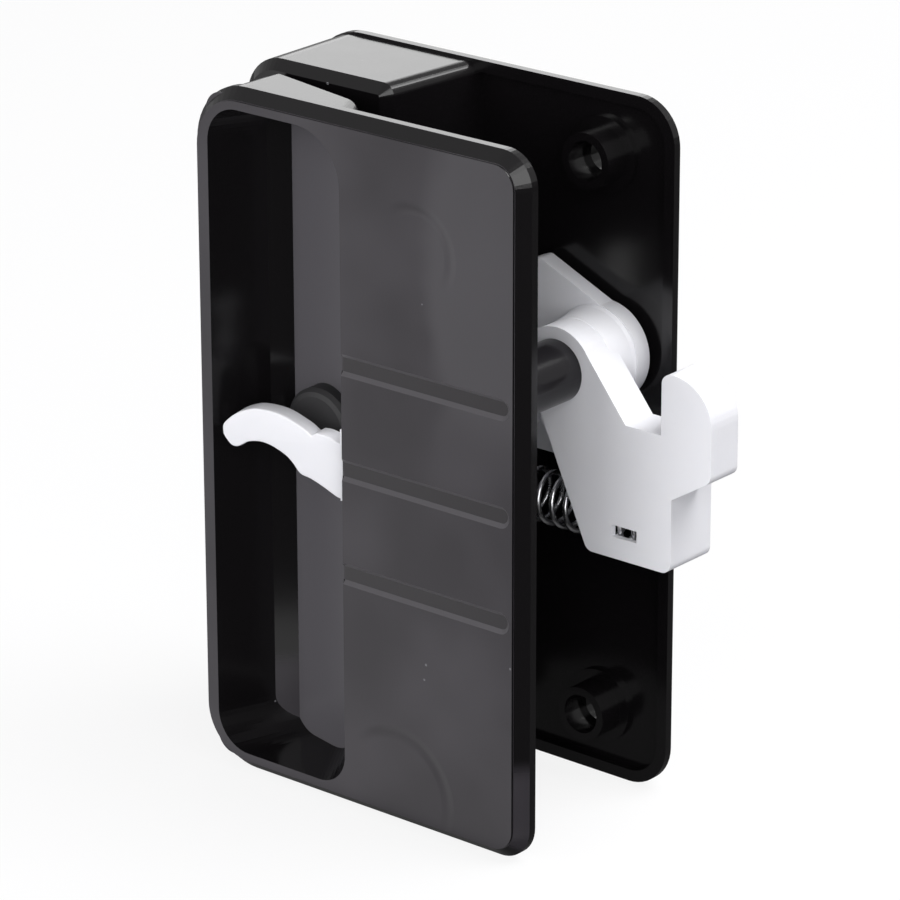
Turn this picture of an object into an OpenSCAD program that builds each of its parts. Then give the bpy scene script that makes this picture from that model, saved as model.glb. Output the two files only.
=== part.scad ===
/* [Plates] */
// Width of the outer plate, from the hand side to the jamb side
plate_w = 62; // [58:1:70]
// How much wider the inner plate is, on the hand side
back_extra = 6; // [5:0.5:8]
// Height of each plate
plate_h = 106; // [104:1:130]
// Clear space between the two rims, which takes the door stile
stile_t = 30.6; // [29:0.2:36]
// Depth of each plate's rim, from its face to the stile
rim_depth = 3.3; // [3:0.1:5]
// Wall thickness of the plates
wall = 1.8; // [1.5:0.1:2.2]
// Corner radius on the hand side
corner_hand = 9.5; // [7:0.5:14]
// Corner radius on the jamb side
corner_jamb = 5.2; // [4:0.2:9]
// Corner radius of the inner plate on the jamb side
corner_back = 6.8; // [4:0.2:9]
// Width of the bevel round each plate
edge_bevel = 1.65; // [0.8:0.05:1.8]
// Height of the raised field on the face
field_step = 0.35; // [0.2:0.05:0.6]

/* [Finger pockets] */
// Wall thickness of the pockets
pocket_wall = 1.4; // [1.2:0.1:1.8]
// Rim left between the plate's edge and the outer pocket's mouth
mouth_rim = 3.8; // [3.4:0.1:5]
// Rim left above and below the outer pocket's mouth
mouth_rim_z = 3; // [2.6:0.1:5]
// Width of the outer pocket's mouth
mouth_w = 25; // [24:0.5:27]
// Depth of the outer pocket at its hand wall
pocket_depth = 12.8; // [12:0.1:14]
// Angle at which the outer pocket's floor rises towards the thumb wall
floor_angle = 12; // [8:0.5:13]
// How far the outer pocket's hand wall leans in
hand_lean = 5.2; // [4:0.1:5.4]
// How far the outer pocket's thumb wall leans in
pocket_lean = 8.4; // [7:0.1:9]
// Rim left between the plate's edge and the inner pocket's mouth
back_rim = 3; // [2.8:0.1:4]
// Rim left above and below the inner pocket's mouth
back_rim_z = 1.8; // [1.7:0.1:4]
// Width of the inner pocket's mouth
back_mouth_w = 27.6; // [26:0.1:28]
// Depth of the inner pocket, from the face to its floor
back_pocket_depth = 19.7; // [18:0.1:20]
// How far the inner pocket's thumb wall leans in
back_lean = 2; // [1:0.1:3]
// Bevel round the inner pocket's outside
back_bevel = 1.5; // [0.8:0.1:2]

/* [Grooves] */
// Distance between the grooves on the outer face
groove_pitch = 16; // [10:0.5:20]
// Height of one groove
groove_h = 3.3; // [2.4:0.1:4]
// Depth of one groove
groove_depth = 0.5; // [0.3:0.1:0.8]
// Distance from a groove's round end to the jamb edge
groove_end = 2.3; // [2.2:0.1:6]

/* [Fixing screws] */
// Distance between the two fixing screws
screw_spacing = 85.7; // [80:0.1:88]
// Distance from the screws to the jamb edge
screw_inset = 13.3; // [9:0.1:15]
// Diameter of the through holes in the inner plate
screw_hole_d = 4.5; // [3.5:0.1:5]
// Outer diameter of the screw bosses
boss_d = 8.4; // [8:0.1:10]
// Diameter of the recess inside the inner plate's bosses
boss_bore = 6; // [5.4:0.1:6.4]
// Diameter of the pad under each boss of the inner plate
boss_pad = 11.4; // [10.5:0.1:12]
// Length of the screw bosses beyond the plate wall
boss_len = 5; // [3:0.5:9]
// Diameter of the blind holes in the outer plate's bosses
pilot_d = 3.3; // [2.5:0.1:4]

/* [Pivot] */
// Distance from the pivot axis to the jamb edge
pivot_inset = 11.5; // [10:0.1:13]
// Height of the pivot axis
pivot_z = 67.1; // [64:0.1:69]
// Diameter of the post
post_d = 9.4; // [8:0.1:10]
// Diameter of the journal that carries the latch
journal_d = 6.8; // [5:0.1:7.4]
// Radial running clearance of the latch on the journal
run_clear = 0.06; // [0.03:0.01:0.1]
// Wall thickness of the two post sockets
socket_wall = 1.7; // [1.2:0.1:2]
// Depth of the socket in the outer plate
socket_depth = 4; // [2:0.5:8]

/* [Latch hook] */
// Distance from the outer face to the hook's front
hook_y = 21.9; // [20:0.1:22.4]
// Thickness of the nose of the hook
hook_t = 6.3; // [5:0.1:7]
// Outer radius of the hub
hub_r = 6.5; // [6:0.1:7.5]
// Thickness of the rear web and of the lever plates
web_t = 2.9; // [2:0.1:3]
// Outer radius of the web around the pivot
web_r = 7.5; // [7:0.1:8.5]
// Reach of the nose beyond the jamb edge
nose_reach = 16.2; // [15:0.1:20]
// Height of the nose above the pivot
nose_rise = 3.9; // [3:0.1:5]
// Radius of the nose
nose_r = 6.7; // [6.2:0.1:7.2]
// Width of the throat between the plates and the nose
throat_w = 7.4; // [6:0.1:8.5]
// Depth of the throat below the pivot
throat_drop = 5.5; // [4:0.1:7]
// Distance from the pivot down to the foot of the hook
foot_drop = 26.2; // [25:0.1:28]
// Reach of the block below the nose beyond the jamb edge
block_reach = 9.4; // [8.6:0.1:9.8]
// Height of the block from its foot to the nose's slope
block_h = 11.4; // [10.4:0.1:12]
// Height of the slope below the nose
slope_h = 4.2; // [3.4:0.1:5]
// Reach of the web from the pivot towards the levers
web_reach = 12.7; // [12.2:0.1:13.2]
// Height of the web above the pivot
web_rise = 12.4; // [11:0.1:13.4]
// Distance from the pivot down to the web's resting foot
web_drop = 17.1; // [16.8:0.1:17.4]
// Thickness of the hook's front wall over the spring
front_wall = 0.9; // [0.7:0.1:1]
// Corner radius of the hook
hook_round = 1.6; // [0.8:0.1:2]

/* [Thumb levers] */
// Length of each lever's finger
finger_len = 17.2; // [16:0.1:17.3]
// Thickness of the fingers
finger_t = 3; // [2.4:0.1:3.4]
// Height of the fingers at their root
finger_h = 9.8; // [9:0.1:10.4]
// Rise of the fingers' arch
finger_arch = 3.9; // [3:0.1:4.6]
// Radius of the fingertip
finger_tip_r = 1.7; // [1.2:0.1:2]
// Angle at which the fingers lean out of their pockets
finger_lean = 8.5; // [6:0.5:9]
// Distance from the pivot down to the fingers' root
finger_drop = 15.2; // [14.8:0.1:15.6]
// Distance from a finger's root to the edge of its pocket's mouth
root_gap = 2.7; // [2.4:0.1:3.2]
// Width of the bar that joins the two levers
bar_w = 6; // [5.4:0.1:6.4]
// Height of the bar
bar_h = 8; // [7.4:0.1:8.6]
// Distance from the pivot down to the foot of the bar
bar_drop = 13.1; // [12.6:0.1:13.4]
// Width of the bar's pegs
peg_w = 2.8; // [2.2:0.1:3]
// Height of the bar's pegs
peg_h = 5.2; // [4.4:0.1:5.6]
// Clearance of the pegs in the levers
peg_clear = 0.04; // [0.02:0.01:0.08]
// Radius of the round guard behind each finger
guard_r = 6.2; // [5.4:0.1:6.6]
// Distance from the face to the front of the guard
guard_y = 6.8; // [6.6:0.1:8]
// Travel of the latch in degrees
travel = 12; // [6:1:12]

/* [Return spring] */
// Outer diameter of the coil
spring_d = 8.2; // [6:0.1:8.4]
// Wire diameter
wire_d = 0.8; // [0.5:0.05:1]
// Distance from one turn to the next
spring_pitch = 2.25; // [1.8:0.05:3]
// Height of the coil's axis
spring_z = 45; // [44.6:0.1:45.4]
// Distance from the outer face to the coil's axis
spring_y = 27; // [26.9:0.1:27.4]
// Thickness of the stop that carries the spring
stop_w = 2.4; // [1.8:0.1:2.8]
// Height of the stop
stop_h = 10.4; // [9.8:0.1:11]
// Length of the two pegs inside the coil
seat_peg_len = 3; // [2:0.1:4]
// Distance from the jamb edge to the spring's seat in the hook
seat_reach = 4.5; // [4:0.1:5]

/* [Hidden] */
depth = stile_t + 2 * rim_depth;
pivot_x = plate_w - pivot_inset;
screw_x = plate_w - screw_inset;
screw_z0 = plate_h / 2 - screw_spacing / 2;
screw_z1 = plate_h / 2 + screw_spacing / 2;
mouth_x1 = mouth_rim + mouth_w;
back_x0 = back_rim - back_extra;
back_x1 = back_x0 + back_mouth_w;
// the lever plates lie as deep behind each face as the rear web does
lever_y = rim_depth - 0.1;
web_y1 = depth - lever_y;
web_y0 = web_y1 - web_t;
finger_z = pivot_z - finger_drop;
root_r = finger_h / 2;
// the bar that joins both lever plates behind the pockets
web_x0 = pivot_x - web_reach;
bar_x = web_x0 + 1.2 - bar_w;
bar_z0 = pivot_z - bar_drop;
peg_x = bar_x + (bar_w - 1.2 - peg_w) / 2;
// the stop that carries the spring and the resting web
web_foot_z = pivot_z - web_drop;
stop_gap = 0.1;
stop_x1 = web_x0 + 0.6;
seat_x = plate_w + seat_reach;
side_gap = 0.1;
pad_h = 0.8;
slot_gap = 0.45;
body_x1 = plate_w + block_reach;
throat_x = plate_w + throat_w;
nose_x = plate_w + nose_reach - nose_r;
nose_z = pivot_z + nose_rise - nose_r;
foot_z = pivot_z - foot_drop;
coil_r = (spring_d - wire_d) / 2;
spring_len = seat_x - stop_x1 - 2 * side_gap;
$fn = 48;

// the origin is the middle of the fixing screws on the inner face
module place() translate([-screw_x, -depth, -plate_h / 2]) children();
// a flat outline drawn in width and height, thickened from y0 to y1
module slab(y0, y1) translate([0, y1, 0]) rotate([90, 0, 0])
    linear_extrude(y1 - y0) children();
// a round bar along the depth
module rod(x, z, r, y0, y1) translate([x, y0, z]) rotate([-90, 0, 0])
    cylinder(r = r, h = y1 - y0);
// plate outline from x0 to the jamb edge, drawn in by i, radius rj there
module outline(i, x0, rj) {
    rh = corner_hand - i;
    r = rj - i;
    union() {
        translate([x0 + i + rh, i]) square([plate_w - x0 - 2 * i - rh - r, plate_h - 2 * i]);
        translate([x0 + i, i + rh]) square([rh + 1, plate_h - 2 * i - 2 * rh]);
        translate([plate_w - i - r - 1, i + r]) square([r + 1, plate_h - 2 * i - 2 * r]);
        for (z = [i + rh, plate_h - i - rh]) translate([x0 + i + rh, z]) circle(rh);
        for (z = [i + r, plate_h - i - r]) translate([plate_w - i - r, z]) circle(r);
    }
}
// one corner of the plate, turned about its own centre
module corner(x, z, r) translate([x, 0, z]) rotate([-90, 0, 0]) rotate_extrude()
    polygon([[0, field_step], [r - edge_bevel, field_step], [r, field_step + edge_bevel],
             [r, rim_depth], [0, rim_depth]]);
// the hollow plate with its bevel and its raised field
module plate_shell(x0, rj) difference() {
    union() {
        hull() {
            for (z = [corner_hand, plate_h - corner_hand]) corner(x0 + corner_hand, z, corner_hand);
            for (z = [rj, plate_h - rj]) corner(plate_w - rj, z, rj);
        }
        slab(0, field_step + 0.1) outline(edge_bevel + 0.1, x0, rj);
    }
    slab(wall, rim_depth + 1) outline(wall, x0, rj);
}
// a pocket between the mouth's x0 and x1, m from the plate's ends, that narrows
// by lean to its floor; r and f are the corner radii at the mouth and the floor,
// each hand low, hand high, thumb low, thumb high
module pocket(x0, x1, m, lean_h, lean_t, end_h, end_t, r, f, d, b) hull() {
    rod(x0 + r[0], m + r[0], r[0], -1, 0.05);
    rod(x0 + r[1], plate_h - m - r[1], r[1], -1, 0.05);
    rod(x1 - r[2], m + r[2], r[2], -1, 0.05);
    rod(x1 - r[3], plate_h - m - r[3], r[3], -1, 0.05);
    for (k = [0, b]) {
        rod(x0 + lean_h + f[0], m + end_h + f[0], f[0] - k, d - b + k - 0.05, d - b + k);
        rod(x0 + lean_h + f[1], plate_h - m - end_h - f[1], f[1] - k, d - b + k - 0.05, d - b + k);
        rod(x1 - lean_t - f[2], m + end_t + f[2], f[2] - k, d - b + k - 0.05, d - b + k);
        rod(x1 - lean_t - f[3], plate_h - m - end_t - f[3], f[3] - k, d - b + k - 0.05, d - b + k);
    }
}
// slot in the thumb wall, tall enough for the lever's travel
module lever_slot(x) {
    top = bar_z0 + bar_h + 1 + (pivot_x - x + 8) * sin(travel) + slot_gap;
    low = finger_z - root_r - 1.3;
    slab(lever_y - 1.4, lever_y + web_t + slot_gap) translate([x - 8, low]) square([13, top - low]);
}
// round guard behind a finger, from guard_y to the pocket's floor at d
module guard(x1, d) translate([x1 - root_gap - 8.1, 0, finger_z + 2.7]) rotate([-90, 0, 0])
    rotate_extrude() polygon([[0, guard_y], [guard_r - 1.2, guard_y], [guard_r - 0.5, guard_y + 0.25],
                              [guard_r, guard_y + 0.9], [guard_r, d + 0.1], [0, d + 0.1]]);
// everything before a sloped plane through x, y
module before(x, y, a) translate([x, y, -1]) rotate([0, 0, a])
    translate([-60, -60, 0]) cube([120, 60, plate_h + 2]);
// outside and inside of the outer pocket
module pocket_outside() intersection() {
    w = pocket_wall;
    pocket(mouth_rim - 1.5, mouth_x1 + w, mouth_rim_z - w - 0.2, 0.1, pocket_lean * 1.1, 0.1, 0.1,
           [3.2, 3.2, 3.2, 3.2], [3.2, 3.2, 2, 2], pocket_depth + 1.2 + w, 0.1);
    before(mouth_rim, pocket_depth + w / cos(floor_angle), -floor_angle);
}
module pocket_inside() intersection() {
    f = (mouth_w - hand_lean - pocket_lean) / 2 - 0.3;
    pocket(mouth_rim, mouth_x1, mouth_rim_z, hand_lean, pocket_lean, 0.5, 0.5,
           [5.8, 5.6, 5, 8.2], [f, f, f - 0.4, f - 0.4], pocket_depth + 1.2, 0.1);
    before(mouth_rim, pocket_depth, -floor_angle);
    before(mouth_rim + 5.9, pocket_depth - 5.9 * tan(floor_angle), 45);
}
// groove with sloped sides and a round end
module groove(z) {
    x1 = plate_w - groove_end - groove_h / 2;
    h = groove_h / 2;
    k = groove_depth * 1.2;
    translate([mouth_x1 - 1, 0, z]) rotate([90, 0, 90]) linear_extrude(x1 - mouth_x1 + 1)
        polygon([[-0.5, -h - 0.6], [-0.5, h + 0.6], [groove_depth, h - k], [groove_depth, k - h]]);
    translate([x1, 0, z]) rotate([-90, 0, 0]) rotate_extrude()
        polygon([[0, -0.5], [h + 0.6, -0.5], [h - k, groove_depth], [0, groove_depth]]);
}

module front_plate() color([0.09, 0.09, 0.1]) place() {
    difference() {
        union() {
            plate_shell(0, corner_jamb);
            difference() {
                pocket_outside();
                slab(-2, wall - 0.4) square([plate_w, plate_h]);
            }
            for (z = [screw_z0, screw_z1]) rod(screw_x, z, boss_d / 2, wall - 0.2, wall + boss_len);
            rod(pivot_x, pivot_z, post_d / 2 + socket_wall, wall - 0.2, wall + socket_depth);
        }
        pocket_inside();
        lever_slot(mouth_x1 - 1);
        for (i = [-1:1]) groove(plate_h / 2 + i * groove_pitch);
        for (z = [screw_z0, screw_z1]) rod(screw_x, z, pilot_d / 2, wall + 0.6, wall + boss_len + 1);
        rod(pivot_x, pivot_z, post_d / 2, wall, wall + socket_depth + 1);
    }
    intersection() {
        guard(mouth_x1, pocket_depth);
        before(mouth_rim, pocket_depth + pocket_wall - 0.3, -floor_angle);
    }
}

module rear_plate() color([0.09, 0.09, 0.1]) place() {
    w = pocket_wall;
    translate([0, depth, 0]) mirror([0, 1, 0]) {
        difference() {
            union() {
                plate_shell(-back_extra, corner_back);
                difference() {
                    pocket(back_x0 - w, back_x1 + w, back_rim_z - w, 0.1, back_lean, 0.1, 0.1,
                           [7, 7, 2, 2], [7, 7, 1.9, 1.9], back_pocket_depth + w, back_bevel);
                    slab(-2, wall - 0.4) translate([-back_extra - 1, 0])
                        square([plate_w + back_extra + 2, plate_h]);
                }
                for (z = [screw_z0, screw_z1]) {
                    rod(screw_x, z, boss_d / 2, wall - 0.2, wall + boss_len);
                    rod(screw_x, z, boss_pad / 2, wall - 0.2, wall + pad_h);
                }
                rod(pivot_x, pivot_z, journal_d / 2 + socket_wall, wall - 0.2, lever_y - side_gap);
                translate([stop_x1 - stop_w, wall - 0.2, web_foot_z - stop_gap - stop_h])
                    cube([stop_w, depth - spring_y + spring_d / 2 - wall, stop_h]);
                translate([stop_x1 - 0.2, depth - spring_y, spring_z]) rotate([0, 90, 0])
                    cylinder(r = coil_r - wire_d / 2 - 0.4, h = seat_peg_len + 0.2);
            }
            pocket(back_x0, back_x1, back_rim_z, 0.2, back_lean, 0.3, 0.3,
                   [5.6, 5.6, 1.2, 1.2], [5.4, 5.4, 1.2, 1.2], back_pocket_depth, 0.6);
            lever_slot(back_x1 - 1);
            for (z = [screw_z0, screw_z1]) {
                rod(screw_x, z, screw_hole_d / 2, -1, wall + boss_len + 1);
                rod(screw_x, z, boss_bore / 2, wall + pad_h, wall + boss_len + 1);
            }
            rod(pivot_x, pivot_z, journal_d / 2, 0.8, wall + 2);
        }
        guard(back_x1, back_pocket_depth);
    }
}

module pivot_post() color([0.09, 0.09, 0.1]) place() {
    rod(pivot_x, pivot_z, post_d / 2, wall, hook_y - side_gap);
    rod(pivot_x, pivot_z, journal_d / 2, hook_y - side_gap - 0.2, depth - 0.8);
}

// outline of the hook: arm, block below it and rounded nose
module hook_shape() offset(r = hook_round) offset(delta = -hook_round)
    offset(delta = -0.9) offset(r = 0.9) union() {
    translate([pivot_x, pivot_z]) circle(hub_r);
    polygon([[pivot_x - 5.1, pivot_z - 2.2], [pivot_x + 5.8, foot_z], [body_x1, foot_z],
             [body_x1, foot_z + block_h], [plate_w + nose_reach, foot_z + block_h + slope_h],
             [plate_w + nose_reach, nose_z], [nose_x, nose_z + nose_r], [throat_x, nose_z + nose_r - 0.6],
             [throat_x, pivot_z - throat_drop], [plate_w + 1.1, pivot_z - throat_drop],
             [pivot_x + 5, pivot_z + 4.1]]);
    intersection() {
        translate([nose_x, nose_z]) circle(nose_r);
        translate([throat_x, nose_z]) square([nose_r * 2, nose_r]);
    }
}
// outline of the web behind the hook
module web_shape() union() {
    translate([pivot_x, pivot_z]) circle(web_r);
    offset(r = 1) offset(delta = -1)
        polygon([[web_x0, web_foot_z], [pivot_x - web_r + 0.9, web_foot_z],
                 [pivot_x + 0.64 * web_r, pivot_z - 0.69 * web_r],
                 [pivot_x + 0.35 * web_r, pivot_z + 0.88 * web_r],
                 [web_x0 + 2.1, pivot_z + web_rise], [web_x0, pivot_z + web_rise - 0.8]]);
}

module latch_hook() color([0.93, 0.93, 0.95]) place() {
    difference() {
        union() {
            slab(hook_y, hook_y + hook_t) hook_shape();
            slab(hook_y + hook_t - 0.2, web_y0 + 0.2) intersection() {
                hook_shape();
                translate([pivot_x - 8, foot_z - 1]) square([body_x1 - pivot_x + 8, block_h + 5]);
            }
            // the hub widens softly to the web
            translate([pivot_x, 0, pivot_z]) rotate([-90, 0, 0]) rotate_extrude()
                polygon([[2, hook_y + 1], [hub_r + 0.1, hook_y + hook_t - 1.6],
                         [hub_r + 0.3, hook_y + hook_t], [web_r - 0.4, web_y0 - 0.6],
                         [web_r - 0.1, web_y0 + 0.2], [2, web_y0 + 0.2]]);
            slab(web_y0, web_y1) web_shape();
            translate([bar_x, lever_y + web_t, bar_z0]) cube([bar_w, web_y0 - lever_y - web_t, bar_h]);
            translate([web_x0, web_y0 - 1, bar_z0]) cube([2.4, web_t + 1, bar_h]);
            translate([peg_x, lever_y, bar_z0 + (bar_h - peg_h) / 2])
                cube([peg_w, web_y1 - lever_y, peg_h]);
        }
        // journal bore
        rod(pivot_x, pivot_z, journal_d / 2 + run_clear, hook_y - 1, web_y1 + 1);
        // channel for the spring, open to the rear, below and towards the stop
        translate([pivot_x - 8, hook_y + front_wall, foot_z - 1])
            cube([seat_x - pivot_x + 8, web_y1, spring_z + spring_d / 2 + 0.3 - foot_z + 1]);
        // window in the front wall
        slab(hook_y - 1, hook_y + front_wall + 1)
            translate([plate_w - 1.2, spring_z - 0.8]) square([4.5, 1.8]);
    }
    // peg that centres the spring
    translate([seat_x - seat_peg_len, spring_y, spring_z]) rotate([0, 90, 0])
        cylinder(r = coil_r - wire_d / 2 - 0.4, h = seat_peg_len + 0.2);
}

// one thumb lever: a link to the bar and a curved finger before it
module thumb_lever(x1) {
    rx = x1 - root_gap;
    difference() {
        slab(lever_y, lever_y + web_t) hull() {
            translate([rx - 0.6, finger_z]) circle(root_r - 0.3);
            translate([peg_x + 0.2, bar_z0 + bar_h / 2]) circle(bar_h / 2 + 0.6);
        }
        translate([peg_x - peg_clear, 0, bar_z0 + (bar_h - peg_h) / 2 - peg_clear])
            cube([peg_w + 2 * peg_clear, depth, peg_h + 2 * peg_clear]);
        translate([web_x0 - peg_clear, 0, 0]) cube([20, depth, plate_h]);
    }
    // the finger: an arched row of discs from the root to the tip
    a = finger_arch;
    p = [[0, 0, root_r], [-0.34, 0.64 * a, 0.94 * root_r], [-0.52, 0.9 * a, 0.84 * root_r],
         [-0.7, a, 0.67 * root_r], [-0.86, 0.8 * a, 0.45 * root_r], [-1, 0.33 * a, finger_tip_r]];
    translate([rx, lever_y - 1, finger_z]) rotate([0, 0, finger_lean]) slab(0, finger_t) {
        for (k = [0:4]) hull() for (e = [p[k], p[k + 1]])
            translate([finger_len * e[0], e[1]]) circle(e[2]);
        offset(r = 0.5) translate([-1.9, -1]) square([2.9, root_r + 1.7]);
    }
}
module front_thumb_lever() color([0.93, 0.93, 0.95]) place() thumb_lever(mouth_x1);
module rear_thumb_lever() color([0.93, 0.93, 0.95]) place()
    translate([0, depth, 0]) mirror([0, 1, 0]) thumb_lever(back_x1);

// points of the coil, closed flat at both ends
steps = 14;
turns = (spring_len - wire_d) / spring_pitch;
rings = ceil(turns * steps);
sides = 8;
function coil_pt(i) = let (a = 360 * turns * i / rings)
    [stop_x1 + side_gap + wire_d / 2 + (spring_len - wire_d) * i / rings,
     spring_y + coil_r * cos(a), spring_z + coil_r * sin(a)];
function ring_pt(i, j) = let (a = 360 * turns * i / rings, b = 360 * j / sides, c = coil_pt(i))
    [c[0] + wire_d / 2 * sin(b), c[1] + wire_d / 2 * cos(b) * cos(a), c[2] + wire_d / 2 * cos(b) * sin(a)];
module return_spring() color([0.7, 0.7, 0.72]) place() polyhedron(
    points = [for (i = [0:rings]) for (j = [0:sides - 1]) ring_pt(i, j)],
    faces = concat(
        [[for (j = [0:sides - 1]) j]],
        [for (i = [0:rings - 1]) for (j = [0:sides - 1]) let (k = (j + 1) % sides)
            [i * sides + j, (i + 1) * sides + j, (i + 1) * sides + k]],
        [for (i = [0:rings - 1]) for (j = [0:sides - 1]) let (k = (j + 1) % sides)
            [i * sides + j, (i + 1) * sides + k, i * sides + k]],
        [[for (j = [0:sides - 1]) rings * sides + sides - 1 - j]]), convexity = 10);

front_plate();
rear_plate();
pivot_post();
latch_hook();
front_thumb_lever();
rear_thumb_lever();
return_spring();
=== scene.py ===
import math
from collections import namedtuple

import bpy
from mathutils import Matrix, Vector


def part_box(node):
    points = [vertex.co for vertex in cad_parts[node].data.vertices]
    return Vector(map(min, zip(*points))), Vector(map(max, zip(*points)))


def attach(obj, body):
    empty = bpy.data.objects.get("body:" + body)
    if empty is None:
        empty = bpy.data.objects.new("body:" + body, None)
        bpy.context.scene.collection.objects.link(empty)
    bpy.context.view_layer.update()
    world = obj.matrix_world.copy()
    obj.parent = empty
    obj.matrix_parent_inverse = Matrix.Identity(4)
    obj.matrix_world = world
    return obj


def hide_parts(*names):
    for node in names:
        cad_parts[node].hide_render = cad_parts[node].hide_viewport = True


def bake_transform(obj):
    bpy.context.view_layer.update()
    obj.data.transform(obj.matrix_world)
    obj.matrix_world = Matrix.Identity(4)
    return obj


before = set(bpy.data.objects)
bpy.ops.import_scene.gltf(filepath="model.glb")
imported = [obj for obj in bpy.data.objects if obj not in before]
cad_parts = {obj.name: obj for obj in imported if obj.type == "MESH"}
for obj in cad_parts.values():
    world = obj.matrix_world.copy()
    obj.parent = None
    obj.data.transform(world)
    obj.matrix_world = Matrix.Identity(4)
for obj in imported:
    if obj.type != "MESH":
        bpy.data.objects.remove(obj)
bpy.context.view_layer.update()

scene = bpy.context.scene
scene.view_settings.view_transform = "Standard"

# the outer plate in metres in the part's frame: its lower corner at the hand side, its face and its jamb edge
plate_low, plate_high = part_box("front_plate")
PLATE_CORNER = Vector(plate_low)
OUTER_FACE = plate_low[1]
JAMB_EDGE = plate_high[0]

# the way along Y that each plate's face looks
OUTER_SIDE = -1.0
INNER_SIDE = 1.0
WHITE = (1.0, 1.0, 1.0, 1.0)


# node helpers
def set_values(node, values):
    for label, value in values.items():
        node.inputs[label].default_value = value


def new_material(name):
    material = bpy.data.materials.new(name)
    material.use_nodes = True
    tree = material.node_tree
    tree.nodes.clear()
    output = tree.nodes.new("ShaderNodeOutputMaterial")
    shader = tree.nodes.new("ShaderNodeBsdfPrincipled")
    tree.links.new(shader.outputs["BSDF"], output.inputs["Surface"])
    return material, tree, shader


# a node group whose inputs and outputs are plain numbers
def group_tree(name, inputs, outputs):
    tree = bpy.data.node_groups.new(name, "ShaderNodeTree")
    for label, value in inputs.items():
        socket = tree.interface.new_socket(name=label, in_out="INPUT", socket_type="NodeSocketFloat")
        socket.default_value = value
    for label in outputs:
        tree.interface.new_socket(name=label, in_out="OUTPUT", socket_type="NodeSocketFloat")
    start = tree.nodes.new("NodeGroupInput")
    end = tree.nodes.new("NodeGroupOutput")
    return tree, start.outputs, end.inputs


def group_node(tree, group, values):
    node = tree.nodes.new("ShaderNodeGroup")
    node.node_tree = group
    set_values(node, values)
    return node.outputs


# a value is another node's socket, which is linked, or a plain number or colour
def feed(tree, socket, value):
    if isinstance(value, bpy.types.NodeSocket):
        tree.links.new(value, socket)
    else:
        socket.default_value = value


def math_node(tree, operation, first, second=None, clamp=False):
    node = tree.nodes.new("ShaderNodeMath")
    node.operation = operation
    node.use_clamp = clamp
    feed(tree, node.inputs[0], first)
    if second is not None:
        feed(tree, node.inputs[1], second)
    return node.outputs[0]


def add(tree, first, second, clamp=False):
    return math_node(tree, "ADD", first, second, clamp)


def subtract(tree, first, second):
    return math_node(tree, "SUBTRACT", first, second)


def multiply(tree, first, second):
    return math_node(tree, "MULTIPLY", first, second)


# goes from low to high while the value goes from near to far
def ramp(tree, value, near, far, low=0.0, high=1.0, shape="SMOOTHSTEP"):
    node = tree.nodes.new("ShaderNodeMapRange")
    node.interpolation_type = shape
    tree.links.new(value, node.inputs["Value"])
    set_values(node, {"From Min": near, "From Max": far, "To Min": low, "To Max": high})
    return node.outputs["Result"]


def mix(tree, factor, under, over, kind="RGBA"):
    node = tree.nodes.new("ShaderNodeMix")
    node.data_type = kind
    for label, value in (("Factor", factor), ("A", under), ("B", over)):
        feed(tree, node.inputs[label], value)
    return node.outputs["Result"]


def mix_shader(tree, factor, under, over):
    node = tree.nodes.new("ShaderNodeMixShader")
    for slot, value in enumerate((factor, under, over)):
        tree.links.new(value, node.inputs[slot])
    return node.outputs[0]


def split(tree, vector):
    node = tree.nodes.new("ShaderNodeSeparateXYZ")
    tree.links.new(vector, node.inputs["Vector"])
    return node.outputs


def bump_normal(tree, height, distance):
    node = tree.nodes.new("ShaderNodeBump")
    set_values(node, {"Strength": 1.0, "Distance": distance})
    tree.links.new(height, node.inputs["Height"])
    return node.outputs["Normal"]


# effects that several materials share
NOISE_MIDDLE = 0.5
WAVE_DETAIL = 2.0
GRAIN_DETAIL = 3.0
SMALLEST_SPECK = 0.4


def noise(tree, place, scale, detail):
    node = tree.nodes.new("ShaderNodeTexNoise")
    set_values(node, {"Detail": detail})
    tree.links.new(place, node.inputs["Vector"])
    tree.links.new(scale, node.inputs["Scale"])
    return node.outputs["Fac"]


# the skin of a moulded part: slow waves of sink, a fine grain and rubbed spots
def build_moulded_skin():
    tree, start, end = group_tree(
        "moulded_skin",
        {"Wave Scale": 60.0, "Wave Height": 0.5, "Grain Scale": 2500.0, "Grain Height": 0.2,
         "Base Roughness": 0.25, "Roughness Spread": 0.1},
        ("Height", "Roughness", "Mottle"))
    place = tree.nodes.new("ShaderNodeTexCoord").outputs["Object"]
    waves = noise(tree, place, start["Wave Scale"], WAVE_DETAIL)
    grain = noise(tree, place, start["Grain Scale"], GRAIN_DETAIL)
    height = add(tree, multiply(tree, waves, start["Wave Height"]),
                 multiply(tree, grain, start["Grain Height"]))
    spread = multiply(tree, subtract(tree, waves, NOISE_MIDDLE), start["Roughness Spread"])
    roughness = add(tree, spread, start["Base Roughness"], clamp=True)
    for label, value in (("Height", height), ("Roughness", roughness), ("Mottle", waves)):
        tree.links.new(value, end[label])
    return tree


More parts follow.
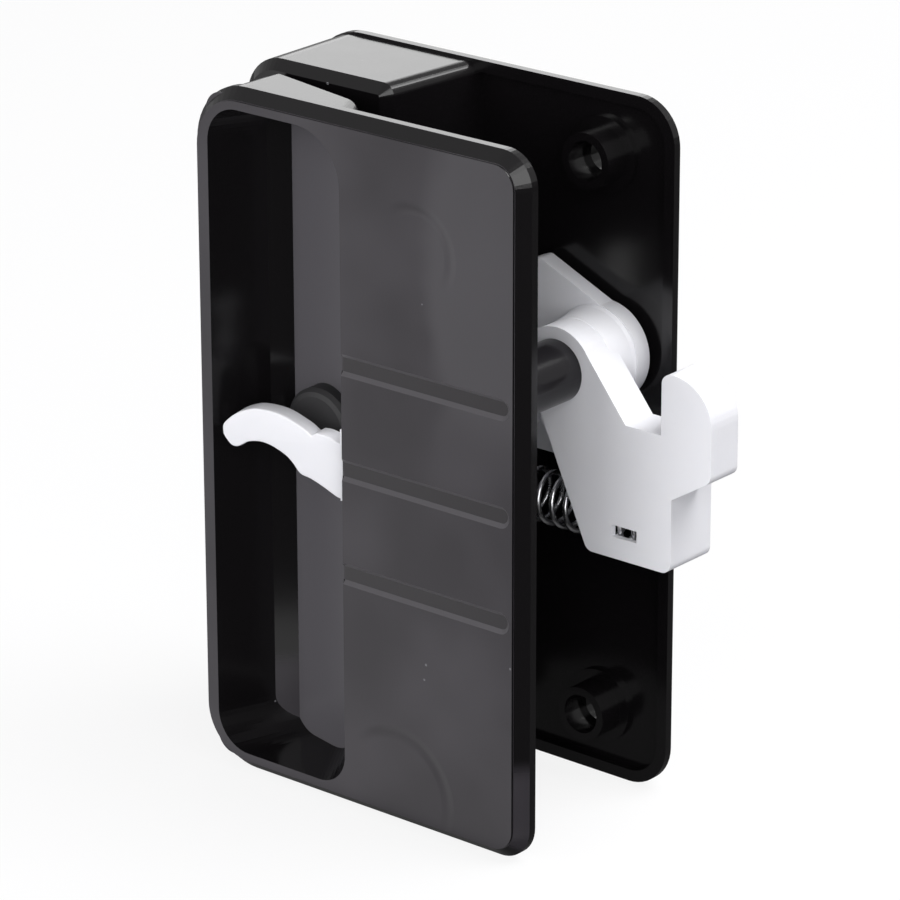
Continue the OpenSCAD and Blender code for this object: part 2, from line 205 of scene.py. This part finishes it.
# a few pale specks of dust and lint, one in some of the cells of a loose grid
def build_dust_specks():
    tree, start, end = group_tree(
        "dust_specks", {"Cells": 190.0, "Speck Size": 0.03, "Share": 0.22}, ("Specks",))
    cells = tree.nodes.new("ShaderNodeTexVoronoi")
    tree.links.new(tree.nodes.new("ShaderNodeTexCoord").outputs["Object"], cells.inputs["Vector"])
    tree.links.new(start["Cells"], cells.inputs["Scale"])
    tint = tree.nodes.new("ShaderNodeSeparateColor")
    tree.links.new(cells.outputs["Color"], tint.inputs["Color"])
    chosen = math_node(tree, "LESS_THAN", tint.outputs["Red"], start["Share"])
    size = multiply(tree, start["Speck Size"], add(tree, tint.outputs["Green"], SMALLEST_SPECK))
    inside = math_node(tree, "LESS_THAN", cells.outputs["Distance"], size)
    tree.links.new(multiply(tree, chosen, inside), end["Specks"])
    return tree


moulded_skin = build_moulded_skin()
dust_specks = build_dust_specks()

# the case's forms that its finish follows, in metres in the part's frame
GROOVE_PITCH = 0.016
GROOVE_REACH = 0.0023
GROOVES_TOP = 0.0190
GROOVES_LEFT = PLATE_CORNER.x + 0.0288
GROOVES_RIGHT = JAMB_EDGE - 0.0018
GROOVES_DEEPEST = OUTER_FACE + 0.0006
GROOVE_BED_DEPTHS = (OUTER_FACE + 0.00025, OUTER_FACE + 0.00042)
JAMB_FOOT_LIT_HEIGHTS = (-0.014, -0.046)
GUARD_HEIGHT = 0.0016
GUARD_EDGE = (0.00622, 0.00628)
OUTER_GUARD_X = -0.0307
INNER_GUARD_X = -0.0349
PALE_CORNER_ACROSS = (-0.0050, 0.0000)
PALE_CORNER_UP = (0.006, 0.018)
PALE_CORNER_WOBBLE = 0.018

# how far a surface has turned towards a side, as a share of facing it fully
SATIN_AND_LIT_TURN = (0.88, 0.96)
GROOVE_SIDE_TURN = (0.80, 0.97)
POCKET_FLOOR_TURN = (0.08, 0.18)
POCKET_WALL_TURN = (0.40, 0.50)

# how strong each effect is
LEFT_LIT_SHARE = 0.38
JAMB_FOOT_LIT_SHARE = 0.80
PALE_CORNER_SHARE = 0.75
SINK_DEPTH = 1.7
SINK_FADE = 0.7
CLOUDS = (0.34, 0.66)

# the case's paints, from its face to its dust
CASE_DARK = (0.0225, 0.0200, 0.0240, 1.0)
CASE_LIGHT = (0.0400, 0.0365, 0.0425, 1.0)
PALE_CORNER = (0.058, 0.055, 0.061, 1.0)
POCKET_FLOOR_PAINTED_LIGHT = (0.086, 0.082, 0.091, 1.0)
GROOVE_BED_SHADE = (0.0215, 0.0195, 0.0220, 1.0)
GROOVE_SIDE_HIGHLIGHT = (0.075, 0.071, 0.078, 1.0)
POLISHED_SHADED_BLACK = (0.0045, 0.004, 0.0045, 1.0)
GUARD_SHADE = (0.018, 0.0175, 0.019, 1.0)
DUST = (0.13, 0.13, 0.14, 1.0)
GUARD_ROUGHNESS = 0.6
CASE_BUMP = 0.0001
SATIN_SKIN = {"Wave Scale": 45.0, "Wave Height": 0.6, "Grain Height": 0.12,
              "Base Roughness": 0.34, "Roughness Spread": 0.10}
POLISHED_SKIN = {"Wave Scale": 70.0, "Wave Height": 0.5, "Grain Height": 0.03,
                 "Base Roughness": 0.17, "Roughness Spread": 0.06}

# an arc around x and z in metres, strongest on the side that side_x and side_z point to
SinkMark = namedtuple("SinkMark", "x z radius width side_x side_z strength")
OUTER_SINK_MARKS = (
    SinkMark(x=-0.0098, z=-0.0479, radius=0.0096, width=0.0013, side_x=0.6, side_z=0.8, strength=1.0),
    SinkMark(x=-0.0062, z=0.0355, radius=0.0066, width=0.0012, side_x=0.7, side_z=0.7, strength=0.5))
INNER_SINK_MARKS = (
    SinkMark(x=-0.0100, z=-0.0480, radius=0.0096, width=0.0013, side_x=0.6, side_z=0.8, strength=0.8),
    SinkMark(x=-0.0060, z=0.0360, radius=0.0066, width=0.0012, side_x=0.7, side_z=0.7, strength=0.5))


# the grooves in the outer face, one every pitch: their whole zone, their sloped sides, which get a painted
# highlight, and their beds, which get painted shade
def groove_masks(tree, spot, outward):
    from_groove = math_node(tree, "PINGPONG", spot["Z"], GROOVE_PITCH / 2.0)
    zone = math_node(tree, "LESS_THAN", from_groove, GROOVE_REACH)
    for value, operation, limit in (
            (math_node(tree, "ABSOLUTE", spot["Z"]), "LESS_THAN", GROOVES_TOP),
            (spot["X"], "GREATER_THAN", GROOVES_LEFT),
            (spot["X"], "LESS_THAN", GROOVES_RIGHT),
            (spot["Y"], "LESS_THAN", GROOVES_DEEPEST)):
        zone = multiply(tree, zone, math_node(tree, operation, value, limit))
    side = multiply(tree, zone, ramp(tree, outward, *GROOVE_SIDE_TURN, low=1.0, high=0.0))
    bed = multiply(tree, zone, ramp(tree, spot["Y"], *GROOVE_BED_DEPTHS))
    return zone, side, bed


# the outward faces, the slanted pocket floors and the grooves carry the satin texture; the sides that face
# left and the jamb bevel's foot carry it too, and its paler paint there is painted light where they catch the
# light
def satin_and_lit_mask(tree, spot, turned, outward, leftward, groove_zone):
    # the jamb bevel is painted paler towards its foot, as painted light
    foot = multiply(tree, ramp(tree, spot["Z"], *JAMB_FOOT_LIT_HEIGHTS, high=JAMB_FOOT_LIT_SHARE),
                    math_node(tree, "MAXIMUM", turned["X"], 0.0))
    outward_and_lit = add(tree, add(tree, outward, multiply(tree, leftward, LEFT_LIT_SHARE)), foot)
    return ramp(tree, math_node(tree, "MAXIMUM", outward_and_lit, groove_zone), *SATIN_AND_LIT_TURN)


def pocket_floor_mask(tree, leftward):
    not_face = ramp(tree, leftward, *POCKET_FLOOR_TURN)
    not_wall = ramp(tree, leftward, *POCKET_WALL_TURN, low=1.0, high=0.0, shape="LINEAR")
    return multiply(tree, not_face, not_wall)


def span(tree, spot, from_x, from_z):
    off_x = subtract(tree, spot["X"], from_x)
    off_z = subtract(tree, spot["Z"], from_z)
    squares = add(tree, multiply(tree, off_x, off_x), multiply(tree, off_z, off_z))
    return math_node(tree, "SQRT", squares)


# shallow sink marks: arcs that the ribs and bosses behind the face leave in it; the bump dents the face along
# them, and the paint is darker along them as painted shade of the dents
def sink_mark_mask(tree, spot, sink_marks):
    marks = None
    for mark in sink_marks:
        from_arc = subtract(tree, span(tree, spot, mark.x, mark.z), mark.radius)
        line = ramp(tree, math_node(tree, "ABSOLUTE", from_arc), 0.0, mark.width, low=1.0, high=0.0)
        toward = add(tree, multiply(tree, subtract(tree, spot["X"], mark.x), mark.side_x),
                     multiply(tree, subtract(tree, spot["Z"], mark.z), mark.side_z))
        fade = ramp(tree, toward, 0.0, mark.radius * SINK_FADE, high=mark.strength)
        arc = multiply(tree, line, fade)
        marks = arc if marks is None else math_node(tree, "MAXIMUM", marks, arc)
    return marks


# the upper corner of the face at the jamb side is paler, with an uneven border
def pale_corner_mask(tree, spot, mottle):
    wobble = multiply(tree, subtract(tree, mottle, NOISE_MIDDLE), PALE_CORNER_WOBBLE)
    across = ramp(tree, add(tree, spot["X"], wobble), *PALE_CORNER_ACROSS, high=PALE_CORNER_SHARE)
    return multiply(tree, across, ramp(tree, spot["Z"], *PALE_CORNER_UP))


# the case: fine satin texture and a dark grey paint on the outward faces and pocket floors; every other side
# is polished, and its near-black paint is painted shade
def moulded_case(name, facing, guard_x, sink_marks):
    material, tree, shader = new_material(name)
    place = tree.nodes.new("ShaderNodeTexCoord")
    turned = split(tree, place.outputs["Normal"])
    spot = split(tree, place.outputs["Object"])
    outward = multiply(tree, turned["Y"], facing)
    leftward = multiply(tree, turned["X"], -1.0)
    groove_zone, lit_groove_side, shaded_groove_bed = groove_masks(tree, spot, outward)
    satin_and_lit = satin_and_lit_mask(tree, spot, turned, outward, leftward, groove_zone)
    marks = sink_mark_mask(tree, spot, sink_marks)
    guard = ramp(tree, span(tree, spot, guard_x, GUARD_HEIGHT), *GUARD_EDGE,
                 low=1.0, high=0.0, shape="LINEAR")
    satin = group_node(tree, moulded_skin, SATIN_SKIN)
    polished = group_node(tree, moulded_skin, POLISHED_SKIN)
    specks = group_node(tree, dust_specks, {})["Specks"]

    # the slanted pocket floor is painted a little paler than the face, as painted light against the shade in
    # the pocket; the groove beds are painted darker as painted shade and their sides paler as a painted
    # highlight; the round guard behind the finger is painted darker, as painted shade
    clouds = ramp(tree, satin["Mottle"], *CLOUDS, shape="LINEAR")
    # random clouds between the dark and light tone; the sink-mark arcs are painted darker, as painted shade
    paint = mix(tree, add(tree, clouds, multiply(tree, marks, -1.0), clamp=True), CASE_DARK, CASE_LIGHT)
    for mask, colour in ((pale_corner_mask(tree, spot, satin["Mottle"]), PALE_CORNER),
                         (pocket_floor_mask(tree, leftward), POCKET_FLOOR_PAINTED_LIGHT),
                         (shaded_groove_bed, GROOVE_BED_SHADE), (lit_groove_side, GROOVE_SIDE_HIGHLIGHT)):
        paint = mix(tree, mask, paint, colour)
    # the sides away from the light get the near-black paint as painted shade, the satin and lit sides the
    # paler paint
    paint = mix(tree, satin_and_lit, POLISHED_SHADED_BLACK, paint)
    # the round guard behind the finger is painted darker as painted shade
    paint = mix(tree, guard, paint, GUARD_SHADE)
    tree.links.new(mix(tree, specks, paint, DUST), shader.inputs["Base Color"])

    roughness = mix(tree, satin_and_lit, polished["Roughness"], satin["Roughness"], "FLOAT")
    roughness = mix(tree, guard, roughness, GUARD_ROUGHNESS, "FLOAT")
    tree.links.new(roughness, shader.inputs["Roughness"])
    height = mix(tree, satin_and_lit, polished["Height"], satin["Height"], "FLOAT")
    sunk = multiply(tree, multiply(tree, marks, satin_and_lit), -SINK_DEPTH)
    tree.links.new(bump_normal(tree, add(tree, height, sunk), CASE_BUMP), shader.inputs["Normal"])
    set_values(shader, {"Specular IOR Level": 0.4})
    return material


# a plain moulded plastic, mottled between a dark and a light tone
def moulded_plastic(name, dark, light, skin_values, bump_distance, shader_values):
    material, tree, shader = new_material(name)
    skin = group_node(tree, moulded_skin, skin_values)
    tree.links.new(mix(tree, skin["Mottle"], dark, light), shader.inputs["Base Color"])
    tree.links.new(skin["Roughness"], shader.inputs["Roughness"])
    tree.links.new(bump_normal(tree, skin["Height"], bump_distance), shader.inputs["Normal"])
    set_values(shader, shader_values)
    return material


def black_post():
    skin_values = {"Wave Scale": 90.0, "Wave Height": 0.5, "Grain Height": 0.1,
                   "Base Roughness": 0.20, "Roughness Spread": 0.08}
    return moulded_plastic("black_satin_post", dark=(0.008, 0.0075, 0.0085, 1.0),
                           light=(0.012, 0.011, 0.013, 1.0), skin_values=skin_values,
                           bump_distance=0.0001, shader_values={"Specular IOR Level": 0.3})


def white_nylon():
    skin_values = {"Wave Scale": 120.0, "Wave Height": 0.4, "Grain Height": 0.15,
                   "Base Roughness": 0.42, "Roughness Spread": 0.12}
    shader_values = {"Specular IOR Level": 0.5, "Subsurface Weight": 0.15,
                     "Subsurface Radius": (1.0, 0.95, 0.9), "Subsurface Scale": 0.0012}
    return moulded_plastic("white_nylon", dark=(0.76, 0.76, 0.80, 1.0), light=(0.80, 0.80, 0.83, 1.0),
                           skin_values=skin_values, bump_distance=0.00006, shader_values=shader_values)


def drawn_wire():
    material, tree, shader = new_material("spring_wire")
    skin = group_node(tree, moulded_skin,
                      {"Wave Scale": 400.0, "Base Roughness": 0.27, "Roughness Spread": 0.2})
    tone = mix(tree, skin["Mottle"], under=(0.50, 0.50, 0.52, 1.0), over=(0.72, 0.72, 0.74, 1.0))
    tree.links.new(tone, shader.inputs["Base Color"])
    tree.links.new(skin["Roughness"], shader.inputs["Roughness"])
    set_values(shader, {"Metallic": 1.0})
    return material


outer_case = moulded_case("black_outer_case", OUTER_SIDE, OUTER_GUARD_X, OUTER_SINK_MARKS)
inner_case = moulded_case("black_inner_case", INNER_SIDE, INNER_GUARD_X, INNER_SINK_MARKS)
post_plastic = black_post()
nylon = white_nylon()
spring_wire = drawn_wire()

FINISH = {"front_plate": outer_case, "rear_plate": inner_case, "pivot_post": post_plastic,
          "latch_hook": nylon, "front_thumb_lever": nylon, "rear_thumb_lever": nylon,
          "return_spring": spring_wire}
for node_name, finish in FINISH.items():
    node_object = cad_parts[node_name]
    for material_slot in node_object.material_slots:
        material_slot.link = "OBJECT"
        material_slot.material = finish

# a finger's outline seen from outside, in millimetres from its root, towards the jamb and up
FINGER_TOP = ((-19.3, 2.7), (-19.15, 3.57), (-18.14, 4.65), (-16.71, 5.72), (-15.29, 6.38), (-13.88, 6.81),
              (-12.19, 6.92), (-10.24, 6.79), (-8.57, 6.39), (-6.91, 5.70), (-5.53, 5.05), (-4.38, 4.23))
FINGER_ROOT = ((-3.6, 4.75), (-2.49, 4.74), (-1.25, 4.47), (-0.15, 4.0), (1.1, 3.9))
FINGER_UNDER = ((1.1, -4.6), (0.3, -4.6), (-0.53, -4.34), (-2.45, -3.35), (-4.53, -2.44), (-6.05, -2.07),
                (-6.74, -1.55), (-7.57, -0.53), (-8.67, 0.43), (-10.19, 1.19), (-11.59, 1.67), (-13.13, 1.84),
                (-14.96, 1.51), (-15.96, 0.90), (-16.9, 0.42), (-17.89, 0.50), (-18.77, 1.36), (-19.22, 2.0))
STEPS_PER_POINT = 3
MILLIMETRES = 1000.0

# a finger's thickness, its slant out of the pocket and its rounding
FINGER_THICK = 0.003
FINGER_TURN = math.radians(11.4)
FINGER_ROUNDING = 0.0006
ROUNDING_STEPS = 4
ROUNDED_ABOVE = math.radians(50.0)
LEVER_SMOOTH_BELOW = math.radians(35.0)

# the roots' places from the corner of the outer plate, and where the solid's own link begins beyond them
FRONT_ROOT = PLATE_CORNER + Vector((0.0261, 0.0022, 0.0519))
REAR_ROOT = PLATE_CORNER + Vector((0.0219, 0.0350, 0.0519))
LINK_BEGINS = 0.0004
WELD = 0.000002


# a smooth curve through the points
def smooth_line(points):
    ends = [points[0]] + list(points) + [points[-1]]
    line = []
    for k in range(1, len(ends) - 2):
        for step in range(STEPS_PER_POINT):
            t = step / STEPS_PER_POINT
            line.append(tuple(
                0.5 * (2 * b + (c - a) * t + (2 * a - 5 * b + 4 * c - d) * t * t
                       + (3 * b - a - 3 * c + d) * t ** 3)
                for a, b, c, d in zip(*ends[k - 1:k + 3])))
    return line + [points[-1]]


def finger_slab(root, facing):
    along = Vector((math.cos(FINGER_TURN), -facing * math.sin(FINGER_TURN), 0.0))
    inward = Vector((-math.sin(FINGER_TURN), -facing * math.cos(FINGER_TURN), 0.0))
    outline = smooth_line(FINGER_TOP) + smooth_line(FINGER_ROOT) + smooth_line(FINGER_UNDER)
    bpy.ops.object.select_all(action="DESELECT")
    bpy.ops.mesh.primitive_circle_add(vertices=len(outline), radius=0.01, fill_type="NGON")
    finger = bpy.context.active_object
    for vertex, (u, z) in zip(finger.data.vertices, outline):
        vertex.co = root + along * (u / MILLIMETRES) + Vector((0.0, 0.0, z / MILLIMETRES))
    bpy.ops.object.mode_set(mode="EDIT")
    bpy.ops.mesh.select_all(action="SELECT")
    bpy.ops.mesh.extrude_region_move(TRANSFORM_OT_translate={"value": inward * FINGER_THICK})
    bpy.ops.mesh.select_all(action="SELECT")
    bpy.ops.mesh.normals_make_consistent(inside=False)
    bpy.ops.object.mode_set(mode="OBJECT")
    rounding = finger.modifiers.new("rounded_edges", "BEVEL")
    rounding.width = FINGER_ROUNDING
    rounding.segments = ROUNDING_STEPS
    rounding.limit_method = "ANGLE"
    rounding.angle_limit = ROUNDED_ABOVE
    bpy.ops.object.modifier_apply(modifier=rounding.name)
    return finger


# the rest of the lever is a copy of its solid, cut off where the finger begins
def select_cut_link(node_name, root):
    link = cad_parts[node_name].copy()
    link.data = link.data.copy()
    scene.collection.objects.link(link)
    bpy.ops.object.select_all(action="DESELECT")
    link.select_set(True)
    bpy.context.view_layer.objects.active = link
    bpy.ops.object.mode_set(mode="EDIT")
    bpy.ops.mesh.select_all(action="SELECT")
    bpy.ops.mesh.remove_doubles(threshold=WELD)
    bpy.ops.mesh.bisect(plane_co=(root.x + LINK_BEGINS, 0.0, 0.0), plane_no=(1.0, 0.0, 0.0),
                        use_fill=True, clear_inner=True)
    bpy.ops.object.mode_set(mode="OBJECT")


def curved_lever(node_name, root, facing):
    finger = finger_slab(root, facing)
    select_cut_link(node_name, root)
    finger.select_set(True)
    bpy.context.view_layer.objects.active = finger
    bpy.ops.object.join()
    lever = bpy.context.active_object
    lever.name = lever.data.name = node_name + "_curved"
    bpy.ops.object.shade_smooth_by_angle(angle=LEVER_SMOOTH_BELOW)
    lever.data.materials.clear()
    lever.data.materials.append(nylon)
    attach(lever, "latch")
    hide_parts(node_name)


curved_lever("front_thumb_lever", FRONT_ROOT, OUTER_SIDE)
curved_lever("rear_thumb_lever", REAR_ROOT, INNER_SIDE)

# the return spring
WIRE_RADIUS = 0.0004
WIRE_SIDES = 12
TURNS = 12.0
RINGS_PER_TURN = 24.0
RINGS = RINGS_PER_TURN * TURNS
CLOSED_TURNS = 0.9
CLOSED_PITCH = 1.05
WIRE_SMOOTH_BELOW = math.radians(45.0)


# the end turns lie closed, the ones between them are open: a share of the turns becomes one of the length
def share_along(share, reach):
    closed = CLOSED_TURNS / TURNS
    pitch_share = 2.0 * WIRE_RADIUS * CLOSED_PITCH * CLOSED_TURNS / reach
    if share < closed:
        return share / closed * pitch_share
    if share > 1.0 - closed:
        return 1.0 - (1.0 - share) / closed * pitch_share
    return pitch_share + (share - closed) / (1.0 - 2.0 * closed) * (1.0 - 2.0 * pitch_share)


# wound wire that stays in place between the stop at one end and the hook at the other
def coil_spring():
    low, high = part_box("return_spring")
    reach = high[0] - low[0] - 2.0 * WIRE_RADIUS
    coil_radius = (high[1] - low[1]) / 2.0 - WIRE_RADIUS
    middle = Vector((low[0], (low[1] + high[1]) / 2.0, (low[2] + high[2]) / 2.0))
    bpy.ops.object.select_all(action="DESELECT")
    bpy.ops.mesh.primitive_circle_add(vertices=WIRE_SIDES, radius=WIRE_RADIUS, fill_type="NOTHING")
    spring = bpy.context.active_object
    spring.name = spring.data.name = "wound_spring"
    bpy.ops.object.mode_set(mode="EDIT")
    bpy.ops.mesh.select_all(action="SELECT")
    bpy.ops.transform.translate(value=(0.0, coil_radius, 0.0))
    bpy.ops.object.mode_set(mode="OBJECT")
    # the wire is wound over one metre, and each ring then moves to its own place in the spring
    winding = spring.modifiers.new("winding", "SCREW")
    winding.axis = "X"
    winding.angle = 2.0 * math.pi * TURNS
    winding.screw_offset = 1.0
    winding.steps = winding.render_steps = int(RINGS)
    bpy.ops.object.modifier_apply(modifier=winding.name)
    for vertex in spring.data.vertices:
        share = vertex.index // WIRE_SIDES / RINGS
        vertex.co.x += WIRE_RADIUS - share + share_along(share, reach) * reach
        vertex.co += middle
    bpy.ops.object.mode_set(mode="EDIT")
    bpy.ops.mesh.select_all(action="SELECT")
    bpy.ops.mesh.fill_holes(sides=0)
    bpy.ops.mesh.select_all(action="SELECT")
    bpy.ops.mesh.normals_make_consistent(inside=False)
    bpy.ops.object.mode_set(mode="OBJECT")
    bpy.ops.object.shade_smooth_by_angle(angle=WIRE_SMOOTH_BELOW)
    spring.data.materials.append(spring_wire)
    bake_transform(spring)
    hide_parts("return_spring")


coil_spring()

# the floor, a little below the part
FLOOR_SIZE = 6.0
FLOOR_GAP = 0.0002
FLOOR_SEEN = (0.86, 0.86, 0.88, 1.0)
FLOOR_THROWN_BACK = (0.30, 0.30, 0.31, 1.0)
FLOOR_GLOW_SHARE = 0.86

# the direction across the border at the jamb edge's foot, and where each border ends and how dark it gets
BORDER_ACROSS = (-0.77, 0.64)
ACROSS_RAMP = (-0.012, -0.003, 0.05)
AHEAD_RAMP = (0.0, 0.006, 0.12)


# mirrored in the part, the floor is white in front and to the left of it, and dark beside and under it;
# the border runs from the foot of the jamb edge, as the face mirrors that edge
def mirrored_level(tree):
    spot = split(tree, tree.nodes.new("ShaderNodeTexCoord").outputs["Object"])
    off_x = subtract(tree, spot["X"], JAMB_EDGE)
    off_y = subtract(tree, spot["Y"], OUTER_FACE)
    across = add(tree, multiply(tree, off_x, BORDER_ACROSS[0]), multiply(tree, off_y, BORDER_ACROSS[1]))
    ahead = multiply(tree, off_y, -1.0)
    return multiply(tree, ramp(tree, across, *ACROSS_RAMP), ramp(tree, ahead, *AHEAD_RAMP))


def white_glow(tree, strength):
    node = tree.nodes.new("ShaderNodeEmission")
    set_values(node, {"Color": WHITE})
    feed(tree, node.inputs["Strength"], strength)
    return node.outputs["Emission"]


# pale where it is seen, and a plain grey in the light that it throws back at the part
def studio_white():
    material, tree, shader = new_material("studio_white")
    output = next(node for node in tree.nodes if node.type == "OUTPUT_MATERIAL")
    path = tree.nodes.new("ShaderNodeLightPath").outputs
    tone = mix(tree, path["Is Diffuse Ray"], FLOOR_SEEN, FLOOR_THROWN_BACK)
    tree.links.new(tone, shader.inputs["Base Color"])
    set_values(shader, {"Roughness": 0.9, "Specular IOR Level": 0.1})
    camera_share = multiply(tree, path["Is Camera Ray"], FLOOR_GLOW_SHARE)
    seen = mix_shader(tree, camera_share, shader.outputs["BSDF"], white_glow(tree, 1.0))
    mirrored = white_glow(tree, mirrored_level(tree))
    tree.links.new(mix_shader(tree, path["Is Glossy Ray"], seen, mirrored), output.inputs["Surface"])
    return material


bpy.ops.object.select_all(action="DESELECT")
bpy.ops.mesh.primitive_plane_add(size=FLOOR_SIZE, location=(0.0, 0.0, PLATE_CORNER.z - FLOOR_GAP))
floor = bpy.context.active_object
floor.name = "floor"
floor.data.materials.append(studio_white())


# the light
def background(tree, colour, strength):
    node = tree.nodes.new("ShaderNodeBackground")
    set_values(node, {"Color": colour, "Strength": strength})
    return node.outputs["Background"]


# a weak fill on the part, and white for the rays that see or mirror the surroundings
def studio_world():
    world = bpy.data.worlds.new("studio_world")
    world.use_nodes = True
    tree = world.node_tree
    tree.nodes.clear()
    output = tree.nodes.new("ShaderNodeOutputWorld")
    path = tree.nodes.new("ShaderNodeLightPath").outputs
    seen = background(tree, (0.95, 0.95, 1.0, 1.0), 0.07)
    for ray, strength in (("Is Glossy Ray", 0.5), ("Is Transmission Ray", 1.0), ("Is Camera Ray", 1.0)):
        seen = mix_shader(tree, path[ray], seen, background(tree, WHITE, strength))
    tree.links.new(seen, output.inputs["Surface"])
    return world


# a lamp that points at the part's origin, with its place and size in metres and its power in watts
def softbox(name, place, width, height, power):
    lamp = bpy.data.lights.new(name, "AREA")
    lamp.shape = "RECTANGLE"
    lamp.size, lamp.size_y = width, height
    lamp.energy = power
    lamp_object = bpy.data.objects.new(name, lamp)
    scene.collection.objects.link(lamp_object)
    lamp_object.location = place
    lamp_object.rotation_euler = (-Vector(place)).to_track_quat("-Z", "Y").to_euler()


scene.world = studio_world()
softbox("key_softbox", (-0.18, -0.86, 0.22), width=0.8, height=0.6, power=4.8)
softbox("back_softbox", (-0.45, 0.75, 0.38), width=0.6, height=0.4, power=1.5)
softbox("top_softbox", (0.35, 0.25, 0.8), width=0.7, height=0.7, power=10.0)
softbox("side_softbox", (0.60, -0.62, 0.36), width=0.9, height=0.7, power=6.3)

# the camera, from the photograph's own perspective, with focal length and shifts in its pixels
AZIMUTH = math.radians(40.182)
ELEVATION = math.radians(20.507)
ROLL = math.radians(-0.211)
DISTANCE = 0.69703
TARGET = PLATE_CORNER + Vector((0.031, 0.0165, 0.053))
PHOTO_WIDTH = 900.0
FOCAL_PIXELS = 4792.0
SHIFT_RIGHT_PIXELS = 22.18
SHIFT_UP_PIXELS = -7.69
SENSOR_WIDTH = 36.0
NEAREST_SEEN = 0.01


def photo_camera():
    look = Vector((-math.sin(AZIMUTH) * math.cos(ELEVATION), math.cos(AZIMUTH) * math.cos(ELEVATION),
                   -math.sin(ELEVATION)))
    level = Vector((math.cos(AZIMUTH), math.sin(AZIMUTH), 0.0))
    upright = level.cross(look)
    right_axis = level * math.cos(ROLL) + upright * math.sin(ROLL)
    up_axis = upright * math.cos(ROLL) - level * math.sin(ROLL)
    turn = Matrix((right_axis, up_axis, -look)).transposed().to_4x4()
    camera_data = bpy.data.cameras.new("camera")
    camera_data.sensor_width = SENSOR_WIDTH
    camera_data.lens = FOCAL_PIXELS / PHOTO_WIDTH * SENSOR_WIDTH
    camera_data.shift_x = SHIFT_RIGHT_PIXELS / PHOTO_WIDTH
    camera_data.shift_y = SHIFT_UP_PIXELS / PHOTO_WIDTH
    camera_data.clip_start = NEAREST_SEEN
    camera = bpy.data.objects.new("camera", camera_data)
    scene.collection.objects.link(camera)
    camera.matrix_world = Matrix.Translation(TARGET - look * DISTANCE) @ turn
    return camera


scene.camera = photo_camera()

bpy.context.view_layer.update()
